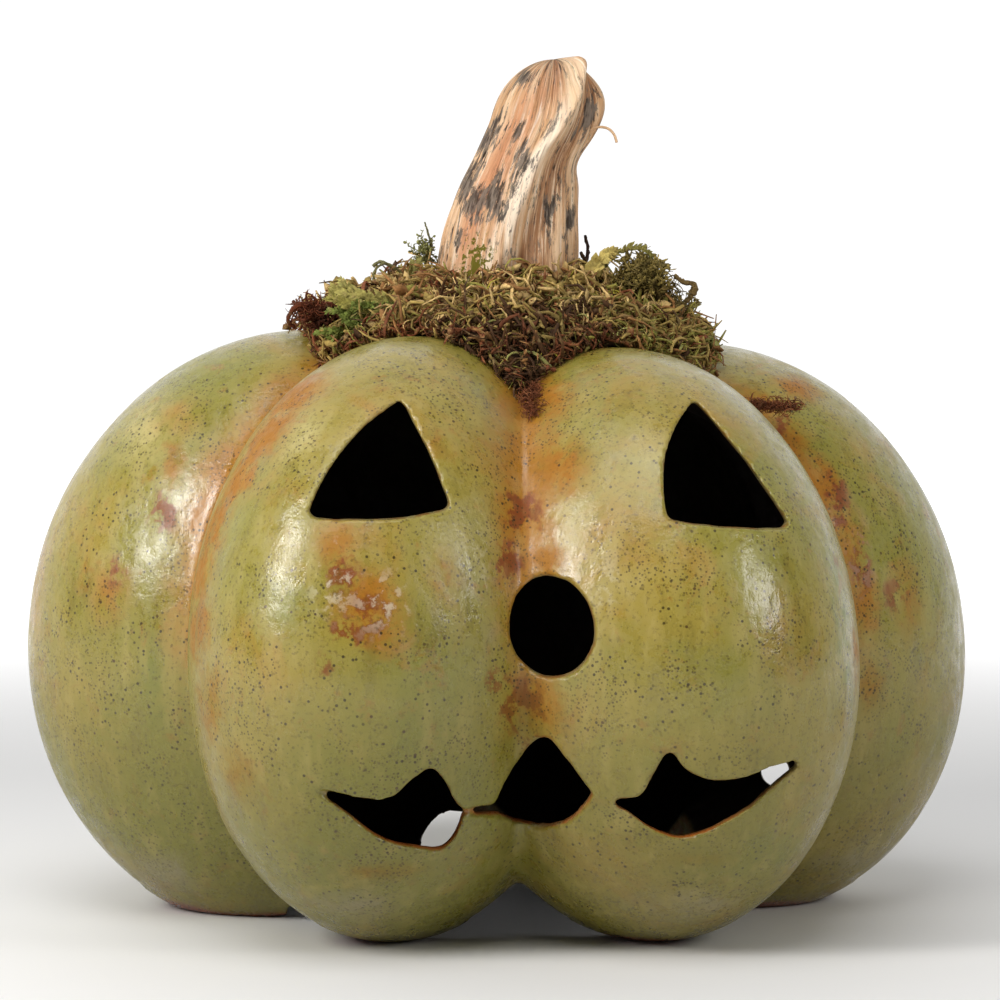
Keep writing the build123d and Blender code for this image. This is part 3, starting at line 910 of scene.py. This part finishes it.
def leaf(shape, root, way, long, wide, thick, twist=0.0, facing=None):      # flat spindle
    ahead = Vector(way).normalized()
    turn = ahead.to_track_quat("Z", "Y").to_matrix()
    if facing:
        across = ahead.cross(Vector(facing)).normalized()
        turn = Matrix((across, ahead.cross(across), ahead)).transposed()
    place = Matrix.Translation(Vector(root)) @ turn.to_4x4() @ Matrix.Rotation(twist, 4, "Z")
    rings = []
    for at, size in ((0.0, 0.18), (0.3, 0.85), (0.65, 0.9)):
        spots = [(wide * size, 0), (0, thick * size), (-wide * size, 0), (0, -thick * size)]
        rings.append([shape.verts.new(place @ Vector((x, y, at * long))) for x, y in spots])
    tip = shape.verts.new(place @ Vector((0, thick, long)))
    for low, high in zip(rings, rings[1:]):
        for k in range(4):
            shape.faces.new((low[k - 1], low[k], high[k], high[k - 1]))
    for k in range(4):
        shape.faces.new((rings[-1][k - 1], rings[-1][k], tip))
    shape.faces.new(rings[0][::-1])


def strandShape(leafy):      # one curly strand about 1 long, along +X
    shape = bmesh.new()
    loops = random.uniform(2.2, 5.5)
    wide = random.uniform(0.14, 0.32)
    start = random.uniform(0, math.tau)
    path = []
    for step in range(7):
        t = step / 6
        turn = start + loops * t
        reach = wide * (0.4 + t)
        path.append((t * 0.9 + 0.08 * math.sin(turn), reach * math.cos(turn), reach * math.sin(turn)))
    thick = random.uniform(0.03, 0.06)
    limb(shape, path, [thick * s for s in (0.6, 1.0, 1.1, 0.9, 1.0, 0.7, 0.35)], sides=3)
    if leafy:
        for step in range(1, 6):
            side = 1 if step % 2 else -1
            way = (0.7, side * random.uniform(0.4, 0.9), random.uniform(-0.6, 0.6))
            leaf(shape, path[step], way, random.uniform(0.26, 0.40), 0.11, 0.03, random.uniform(0, 3))
    return shape


def prototypes(count, leafy):      # points and faces as plain arrays
    made = []
    for _ in range(count):
        shape = strandShape(leafy)
        bmesh.ops.triangulate(shape, faces=shape.faces)
        points = np.array([v.co[:] for v in shape.verts])
        shape.verts.index_update()
        faces = np.array([[v.index for v in f.verts] for f in shape.faces])
        made.append((points, faces))
        shape.free()
    return made


def turns(ways, rolls):      # rotation that lays +X along each way
    x = ways / np.linalg.norm(ways, axis=1)[:, None]
    helper = np.where(np.abs(x[:, 2:]) < 0.9, np.array([[0, 0, 1.0]]), np.array([[1.0, 0, 0]]))
    y = np.cross(helper, x)
    y /= np.linalg.norm(y, axis=1)[:, None]
    z = np.cross(x, y)
    c, s = np.cos(rolls)[:, None], np.sin(rolls)[:, None]
    return np.stack([x, y * c + z * s, z * c - y * s], 2)


def scatter(name, kinds, spots, ways, sizes, tints):      # many strands, spots in millimetres
    spots, ways, sizes, tints = map(np.asarray, (spots, ways, sizes, tints))
    matrices = turns(ways, rng.uniform(0, 6.3, len(spots)))
    choice = rng.integers(0, len(kinds), len(spots))
    points, faces, colors = [], [], []
    start = 0
    for kind, (shapePoints, shapeFaces) in enumerate(kinds):
        mine = np.nonzero(choice == kind)[0]
        if len(mine) == 0:
            continue
        placed = np.einsum("nij,pj->npi", matrices[mine] * sizes[mine][:, None, None], shapePoints)
        placed += spots[mine][:, None, :]
        count = len(shapePoints)
        points.append(placed.reshape(-1, 3))
        offsets = start + np.arange(len(mine)) * count
        faces.append((shapeFaces[None] + offsets[:, None, None]).reshape(-1, 3))
        colors.append(np.repeat(tints[mine], count, 0))
        start += len(mine) * count
    points = np.concatenate(points) * mm
    faces = np.concatenate(faces)
    mesh = bpy.data.meshes.new(name)
    mesh.vertices.add(len(points))
    mesh.vertices.foreach_set("co", points.astype(np.float32).ravel())
    mesh.loops.add(faces.size)
    mesh.loops.foreach_set("vertex_index", faces.astype(np.int32).ravel())
    mesh.polygons.add(len(faces))
    mesh.polygons.foreach_set("loop_start", np.arange(0, faces.size, 3, dtype=np.int32))
    mesh.update(calc_edges=True)
    paintTint(mesh, np.concatenate(colors))
    return mesh


def paintTint(mesh, colors):
    layer = mesh.attributes.new("tint", "FLOAT_COLOR", "POINT")
    full = np.concatenate([colors, np.ones((len(colors), 1))], 1)
    layer.data.foreach_set("color", full.astype(np.float32).ravel())


def mergeMeshes(name, meshes):
    shape = bmesh.new()
    for mesh in meshes:
        shape.from_mesh(mesh)
        bpy.data.meshes.remove(mesh)
    return asMesh(name, shape)


def plantMaterial(name, lift=1.0):      # each strand's own colour, mottled and matt
    p = Shader(name)
    tint = p.attribute("tint", "Color")
    mottle = p.noise(900, detail=3)
    color = p.mix(p.ramp(mottle, 0.35, 0.7, 0.0, 0.55), tint, p.mix(0.6, tint, srgb(30, 20, 10)))
    color = p.mix(p.ramp(p.noise(300, detail=3), 0.55, 0.7, 0.0, 0.35 * lift), color, srgb(190, 168, 110))
    normal = p.bump(mottle, 0.0004, 0.7)
    return p.finish(Base_Color=color, Roughness=0.85, Normal=normal, Specular_IOR_Level=0.25)


moss = {
    "inner": 23.5,
    "reach": 59,          # mean radius of the outer edge
    "topHeight": 188.0,
    "edge": [             # azimuth, radius of the outer edge, thickness at the edge
        (-180, 54, 3), (-140, 56, 3), (-120, 58, 3), (-90, 58, 4), (-62, 60, 4), (-40, 56, 3.5),
        (-26, 52, 3.5), (-10, 60, 3), (0, 68, 2.5), (8, 62, 3), (26, 54, 3.5), (45, 60, 4),
        (62, 66, 4), (90, 60, 4.5), (120, 58, 4), (150, 55, 3), (180, 54, 3),
    ],
    "tufts": {
        "moss_tuft_front": (-32.0, 30.0), "moss_tuft_right": (30.0, 140.0),
        "moss_tuft_back": (140.0, 222.0), "moss_tuft_left": (222.0, 328.0),
    },
    "perArea": 1.25,      # strands to a square millimetre
    "lengths": (4.8, 11.0),
    "leafy": 0.1,         # share of strands that bear leaves
    "depth": 1.3,         # how far the strands sink into the bed
}
shades = {
    "olive": srgb(172, 146, 80), "straw": srgb(222, 188, 124), "brown": srgb(156, 112, 66),
    "dark": srgb(84, 56, 32), "green": srgb(148, 140, 66), "red": srgb(134, 78, 48),
    "lace": srgb(170, 168, 96), "bright": srgb(190, 176, 66),
}


def skinTop(x, y):      # height of the glaze over the ground
    best = np.full(np.shape(x), 150.0)
    for azimuth, depth, width, length, height, lean in form["lobes"]:
        turn = math.radians(azimuth)
        tilt = math.radians(lean)
        reach = math.hypot(depth * math.cos(tilt), length * math.sin(tilt))
        out = x * math.sin(turn) - y * math.cos(turn) - (form["belly"] - reach)
        side = x * math.cos(turn) + y * math.sin(turn)
        a = (math.sin(tilt) / depth) ** 2 + (math.cos(tilt) / length) ** 2
        b = out * math.cos(tilt) * math.sin(tilt) * (1 / depth**2 - 1 / length**2)
        c = (out * math.cos(tilt) / depth) ** 2 + (side / width) ** 2
        c = c + (out * math.sin(tilt) / length) ** 2 - 1
        inside = b * b - a * c
        best = np.where(inside > 0, np.maximum(best, height + (np.sqrt(np.maximum(inside, 0)) - b) / a), best)
    return best


def mossEdge(azimuth, column):
    azimuth = (azimuth + 180) % 360 - 180
    table = np.array(moss["edge"], float)
    return np.interp(azimuth, table[:, 0], table[:, column])


def mossTop(x, y):      # upper surface of the bed
    radius = np.hypot(x, y)
    azimuth = np.degrees(np.arctan2(x, -y))
    edge = mossEdge(azimuth, 1)
    out = np.clip((radius - moss["inner"]) / (edge - moss["inner"]), 0, 1.15)
    skin = skinTop(x, y)
    lumps = 2.2 * np.sin(x / 4.1 + 1.3 * np.sin(y / 5.3)) * np.sin(y / 4.7 + 0.8)
    lumps = lumps + 1.2 * np.sin(x / 1.9) * np.sin(y / 2.2)
    top = moss["topHeight"] + (skin + mossEdge(azimuth, 2) - moss["topHeight"]) * out**1.35
    return np.maximum(top + lumps * (1 - out * 0.5), skin + 0.8)


def mossShade(x, y, z, count):      # dark low in front, olive above, greener to the right
    names = list(shades)
    front = np.clip(-y / 50, 0, 1) * np.clip(1 - np.abs(x - 4) / 34, 0, 1)
    low = np.clip((180 - z) / 9, 0, 1)
    right = np.clip((x - 12) / 30, 0, 1)
    rim = np.clip((np.hypot(x, y) - mossEdge(np.degrees(np.arctan2(x, -y)), 1) + 5) / 5, 0, 1)
    weights = np.zeros((count, len(names)))
    weights[:, names.index("olive")] = 1.0
    weights[:, names.index("straw")] = 0.8 * (1 - low)
    weights[:, names.index("brown")] = 0.8
    weights[:, names.index("dark")] = 0.25 + 5.0 * front * low
    weights[:, names.index("green")] = 0.2 + 0.6 * right
    weights[:, names.index("red")] = 0.1 + 1.8 * rim * (1 - right) + 0.6 * front * low
    weights[:, names.index("lace")] = 0.05 + 0.2 * right
    weights[:, names.index("bright")] = 0.05
    weights /= weights.sum(1)[:, None]
    pick = (weights.cumsum(1) < rng.uniform(0, 1, count)[:, None]).sum(1)
    palette = np.array([shades[n] for n in names])
    return palette[pick] * rng.uniform(0.6, 1.25, count)[:, None]


def bedMesh(name, start, end):      # matted mass under the strands
    shape = bmesh.new()
    columns, rows = max(12, int((end - start) / 2.2)), 16
    bmesh.ops.create_grid(shape, x_segments=columns, y_segments=rows, size=1)
    bmesh.ops.solidify(shape, geom=shape.faces, thickness=1.0)
    bmesh.ops.recalc_face_normals(shape, faces=shape.faces)
    upper = asMesh(name, shape)
    grid = readPoints(upper)
    flat = (grid[:, 2] - grid[:, 2].min()) / (grid[:, 2].max() - grid[:, 2].min())
    azimuth = start + 0.6 + (grid[:, 0] + 1) / 2 * (end - start - 1.2)
    edge = mossEdge(azimuth, 1) - 2.5
    radius = moss["inner"] + 0.6 + (grid[:, 1] + 1) / 2 * (edge - moss["inner"])
    x = radius * np.sin(np.radians(azimuth))
    y = -radius * np.cos(np.radians(azimuth))
    top = mossTop(x, y) - 1.6
    skin = skinTop(x, y) + 0.5
    bottom = np.maximum(skin, 165.5 * (radius < 30))
    top = np.maximum(top, bottom + 0.4)
    writePoints(upper, np.stack([x, y, bottom + (top - bottom) * flat], 1) * mm)
    count = len(grid)
    paintTint(upper, mossShade(x, y, top, count) * 0.55)
    return upper


def buildMoss():
    material = plantMaterial("mossDry")
    plain = prototypes(20, False)
    leafy = prototypes(12, True)
    for name, (start, end) in moss["tufts"].items():
        area = math.radians(end - start) / 2 * (moss["reach"] ** 2 - moss["inner"] ** 2)
        count = int(area * moss["perArea"])
        azimuth = rng.uniform(start + 1, end - 1, count)
        edge = mossEdge(azimuth, 1)
        nearest = (moss["inner"] + 1) ** 2
        radius = np.sqrt(nearest + rng.uniform(0, 1, count) * ((edge + 0.5) ** 2 - nearest))
        x = radius * np.sin(np.radians(azimuth))
        y = -radius * np.cos(np.radians(azimuth))
        top = mossTop(x, y)
        z = top - np.abs(rng.normal(0, moss["depth"], count)) - 0.4
        z = np.maximum(z, skinTop(x, y) + 0.7)
        around = rng.uniform(0, math.tau, count)
        lift = rng.normal(0.1, 0.42, count) + 0.7 * (rng.uniform(0, 1, count) > 0.9)
        ways = np.stack([np.cos(around), np.sin(around), lift], 1)
        outwards = np.stack([x, y, np.zeros(count)], 1) / radius[:, None]
        rim = np.clip((radius - edge + 6) / 6, 0, 1)[:, None]
        slope = (skinTop(x * 1.04, y * 1.04) - skinTop(x, y)) / (radius * 0.04)
        ways = ways + rim * (outwards * 0.5 + np.array([[0, 0, 1.0]]) * slope[:, None] * 0.8)
        sizes = rng.uniform(*moss["lengths"], count) * (1 - 0.25 * rim[:, 0])
        sizes = sizes * (1 + 0.6 * (rng.uniform(0, 1, count) > 0.75))
        spots = np.stack([x, y, z], 1) - ways / np.linalg.norm(ways, axis=1)[:, None] * sizes[:, None] * 0.45
        ends = spots + ways / np.linalg.norm(ways, axis=1)[:, None] * sizes[:, None]
        spots[:, 2] += np.maximum(0, np.maximum(skinTop(spots[:, 0], spots[:, 1]) + 0.7 - spots[:, 2],
                                                skinTop(ends[:, 0], ends[:, 1]) + 0.7 - ends[:, 2]))
        tints = mossShade(x, y, z, count)
        split = rng.uniform(0, 1, count) < 1 - moss["leafy"]
        meshes = [bedMesh(name, start, end)]
        for kinds, mine in ((plain, split), (leafy, ~split)):
            meshes.append(scatter(name, kinds, spots[mine], ways[mine], sizes[mine], tints[mine]))
        mesh = mergeMeshes(name + "_strands", meshes)
        addPiece(name + "_strands", mesh, "lid", material, [name])
        print("moss", name, len(mesh.polygons))
    return plain, leafy


def sprayTint(shape, color, spread=0.25):      # mesh of a sprig in its own colour
    bmesh.ops.triangulate(shape, faces=shape.faces)
    mesh = asMesh("spray", shape)
    points = readPoints(mesh) / mm
    wave = np.sin(points[:, 0] * 1.7 + points[:, 1]) * np.sin(points[:, 2] * 2.1 + points[:, 0])
    paintTint(mesh, np.array([color]) * (1 + spread * wave)[:, None])
    return mesh


def feather(points, color, leafLong, count, thick, wide=0.2):      # stalk with scale leaves on both sides
    shape = bmesh.new()
    line = curve([Vector(p) * mm for p in points], 6)
    limb(shape, line, [thick * mm * (1 - 0.6 * k / len(line)) for k in range(len(line))], sides=5)
    for k in range(count):
        at = k / count * (len(line) - 2)
        low = int(at)
        root = line[low].lerp(line[low + 1], at - low)
        ahead = (line[low + 1] - line[low]).normalized()
        facing = Vector((random.uniform(-0.4, 0.4), -1, random.uniform(-0.2, 0.8)))
        across = ahead.cross(facing).normalized()
        for side in (-1, 1, 0):
            spread = side * random.uniform(0.45, 0.95) + (random.uniform(-0.3, 0.3) if side == 0 else 0)
            way = ahead + across * spread + facing * random.uniform(-0.1, 0.3)
            long = leafLong * mm * random.uniform(0.7, 1.2) * (1 - 0.4 * k / count)
            leaf(shape, root, way, long, long * wide, long * 0.06, random.uniform(-0.5, 0.5), facing)
    return sprayTint(shape, color)


def plainTwig(paths, color, thick):
    shape = bmesh.new()
    for points in paths:
        line = curve([Vector(p) * mm for p in points], 7)
        taper = [thick * mm * (1 - 0.5 * k / len(line)) for k in range(len(line))]
        sizes = [size * random.uniform(0.75, 1.25) for size in taper]
        shaken = [p + Vector([random.uniform(-0.12, 0.12) * mm for _ in range(3)]) for p in line]
        limb(shape, shaken, sizes, sides=7)
    return sprayTint(shape, color)


def clump(kinds, middle, size, color, count, long):      # loose ball of strands
    spots = rng.normal(0, 0.45, (count, 3)) * np.array(size) + np.array(middle)
    ways = rng.normal(0, 1, (count, 3))
    tints = np.array([color]) * rng.uniform(0.55, 1.4, count)[:, None]
    return scatter("clump", kinds, spots, ways, rng.uniform(0.6, 1.3, count) * long, tints)


sprigs = [      # piece, slot, node, and its parts: path or middle and size, colour, then sizes and counts
    ("fern_sprig_left_leaves", "sprig_green", "fern_sprig_left", [
        ("feather", [(-27, -22, 176), (-33, -27, 180), (-42, -30, 182.5), (-52, -31, 185)],
         srgb(176, 166, 92), 5.2, 26, 0.8),
        ("feather", [(-34, -28, 178), (-41, -31, 179.5), (-48, -32, 181), (-52, -32, 183)],
         srgb(156, 148, 74), 4.4, 18, 0.6),
        ("feather", [(-38, -28, 181), (-43, -29, 183), (-47, -30, 186), (-49, -30, 188)],
         srgb(176, 168, 96), 3.6, 10, 0.5),
    ]),
    ("curled_sprig_left_strands", "sprig_brown", "curled_sprig_left", [
        ("twig", [[(-42, -18, 176), (-51, -21, 180), (-60, -23, 178.5), (-62, -18, 181)],
                  [(-56, -22, 180), (-61, -25, 180), (-64, -24, 176), (-62, -22, 173.5)]],
         srgb(96, 46, 24), 1.0),
        ("strands", (-57, -22, 178.5), (5.5, 4, 2.6), srgb(104, 52, 28), 200, 4.6),
        ("leaves", (-52, -22, 176.5), (4.5, 4, 2.0), srgb(86, 42, 22), 90, 4.0),
    ]),
    ("hooked_twig_left_bark", "twig", "hooked_twig_left", [
        ("twig", [[(-27, -8, 182), (-30, -11, 189), (-35, -14, 192), (-38, -14, 190), (-38.5, -14, 187.5)],
                  [(-38.5, -14.2, 191.2), (-36.5, -14, 192.6), (-34.6, -14, 192.2)]],
         srgb(120, 116, 76), 0.6),
        ("feather", [(-29, -10, 186), (-27, -12, 190), (-24.5, -13, 193)], srgb(146, 140, 78), 4.0, 9, 0.5),
    ]),
    ("upright_twig_left_bark", "twig", "upright_twig_left", [
        ("twig", [[(-25, 4, 184), (-24, 3, 191), (-20.5, 2, 196), (-21.5, 1, 201), (-22.4, 1, 204)]],
         srgb(118, 116, 84), 0.55),
        ("leaves", (-22.5, 0, 195), (2.8, 2.0, 3.4), srgb(140, 140, 84), 60, 3.4),
    ]),
    ("dark_twig_right_bark", "twig", "dark_twig_right", [
        ("twig", [[(26, 6, 183), (25.5, 6, 190), (27, 7, 195), (26.2, 8, 200)],
                  [(25.6, 6, 188), (23.6, 5, 192), (23.2, 5, 194)],
                  [(26.4, 6.5, 192), (24.8, 6, 195)]], srgb(58, 40, 32), 0.85),
    ]),
    ("looped_sprig_right_leaves", "sprig_green", "looped_sprig_right", [
        ("feather", [(25, -12, 184), (30, -13, 192), (37, -13, 196.5), (43, -12, 195.5), (47.5, -10, 190.5)],
         srgb(138, 130, 66), 2.9, 24, 0.6),
        ("feather", [(25, -14, 189), (28.5, -15, 192.5), (33, -15, 196)],
         srgb(196, 176, 100), 4.6, 7, 0.8, 0.34),
        ("feather", [(40, -12, 194), (45, -11, 192), (50, -10, 190.5)], srgb(116, 106, 56), 3.2, 12, 0.6),
        ("leaves", (41, -13, 188), (6.5, 5, 5.0), srgb(142, 124, 64), 330, 4.6),
        ("strands", (45, -12, 183), (5.5, 5, 4.5), srgb(118, 98, 50), 260, 5.2),
    ]),
    ("forked_twig_right_bark", "twig", "forked_twig_right", [
        ("twig", [[(40, -8, 177), (46, -12, 178.5), (52, -13, 179), (56, -14, 182.5), (57.5, -14, 184.5)],
                  [(56, -14, 183), (56.5, -14.4, 185.6), (53, -14.6, 186.6), (50.5, -15, 188.4)],
                  [(44, -12, 177.5), (49, -15, 176), (53, -16, 175.6)],
                  [(45, -12, 176.5), (50, -15, 174.2), (52.5, -16, 174.8)]], srgb(120, 98, 58), 1.15),
        ("leaves", (51, -13, 179.6), (5, 2.2, 1.8), srgb(140, 124, 74), 70, 3.0),
    ]),
]


def buildSprigs(plain, leafy):
    materials = {
        "sprig_green": plantMaterial("sprigGreen", 1.2),
        "sprig_brown": plantMaterial("sprigBrown", 0.5),
        "twig": plantMaterial("twigBark", 0.4),
    }
    makers = {
        "feather": feather,
        "twig": plainTwig,
        "strands": lambda *rest: clump(plain, *rest),
        "leaves": lambda *rest: clump(leafy, *rest),
    }
    for name, slot, node, parts in sprigs:
        meshes = [makers[kind](*rest) for kind, *rest in parts]
        addPiece(name, mergeMeshes(name, meshes), "lid", materials[slot], [node])
    lace = []
    for _ in range(34):
        x, z = random.uniform(-50, -36), random.uniform(170, 181)
        end = (x + random.uniform(-8, 4), -31, z + random.uniform(-5, 3))
        halfway = ((x + end[0]) / 2, -33, (z + end[2]) / 2 + 1)
        lace.append(feather([(x, -29, z), halfway, end], srgb(112, 124, 54), 2.6, 9, 0.4))
    addPiece("moss_lace_left", mergeMeshes("lace", lace), "lid", materials["sprig_green"])
    print("sprigs made")


trails = {      # azimuth of the groove, first and last radius, half width, strands
    "moss_crumbs_front": (2.5, 66.0, 79.0, 3.0, 330),
    "moss_crumbs_right": (59.0, 66.0, 96.0, 4.2, 900),
}


def buildCrumbs(plain):
    material = plantMaterial("crumbs", 0.3)
    for name, (azimuth, first, last, half, count) in trails.items():
        radius = rng.uniform(first, last, count)
        aside = rng.normal(0, 0.45, count) * half * np.interp(radius, (first, last), (1.1, 0.5))
        turn = math.radians(azimuth)
        x = radius * math.sin(turn) + aside * math.cos(turn)
        y = -radius * math.cos(turn) + aside * math.sin(turn)
        z = skinTop(x, y) + np.abs(rng.normal(0, 0.9, count)) + 0.5
        around = rng.uniform(0, math.tau, count)
        ways = np.stack([np.cos(around), np.sin(around), rng.normal(0, 0.4, count)], 1)
        tints = np.array([shades["red"]]) * rng.uniform(0.45, 1.35, count)[:, None]
        sizes = rng.uniform(1.6, 4.2, count)
        mesh = scatter(name, plain, np.stack([x, y, z], 1), ways, sizes, tints)
        addPiece(name + "_fibres", mesh, "pumpkin", material, [name])


glue = {"radius": 20.2, "height": 164.5, "halfThick": 0.5}


def buildGlue():      # bead squeezed out unevenly under the stem
    shape = bmesh.new()
    bmesh.ops.create_uvsphere(shape, u_segments=96, v_segments=24, radius=1)
    mesh = asMesh("stem_glue_bead", shape)
    ball = readPoints(mesh)
    azimuth = np.arctan2(ball[:, 1], ball[:, 0])
    radius = glue["radius"] + 0.7 * np.sin(5 * azimuth) + 0.5 * np.sin(11 * azimuth + 1)
    ball[:, 0] *= radius
    ball[:, 1] *= radius
    ball[:, 2] = glue["height"] + glue["halfThick"] * np.clip(ball[:, 2] * 2.5, -1, 1)
    writePoints(mesh, ball * mm)
    shade(mesh)
    g = Shader("glueBead")
    normal = g.bump(g.noise(300), 0.0004, 0.4)
    material = g.finish(Base_Color=srgb(214, 200, 164), Roughness=0.35, Normal=normal, Subsurface_Weight=0.2)
    addPiece("stem_glue_bead", mesh, "lid", material, ["stem_glue"])


def addFloor():
    shape = bmesh.new()
    bmesh.ops.create_grid(shape, x_segments=2, y_segments=2, size=3)
    floor = asObject("floor", asMesh("floor", shape))
    f = Shader("floor")
    far = f.node("ShaderNodeVectorMath", Vector=f.place())
    far.operation = "LENGTH"
    glow = f.ramp(far.outputs["Value"], 0.3, 1.1, 0.0, 0.9)
    pale = f.finish(Base_Color=(0.84, 0.84, 0.84), Roughness=0.7,
                    Emission_Color=(1, 1, 1), Emission_Strength=glow)
    floor.data.materials.append(pale)


addCamera()
addLights()
addFloor()
glaze = glazeMaterial()
buildBody(glaze)
buildLid(glaze)
print("ceramic made")
buildStem()
buildGlue()
plain, leafy = buildMoss()
buildSprigs(plain, leafy)
buildCrumbs(plain)
print("plants made")
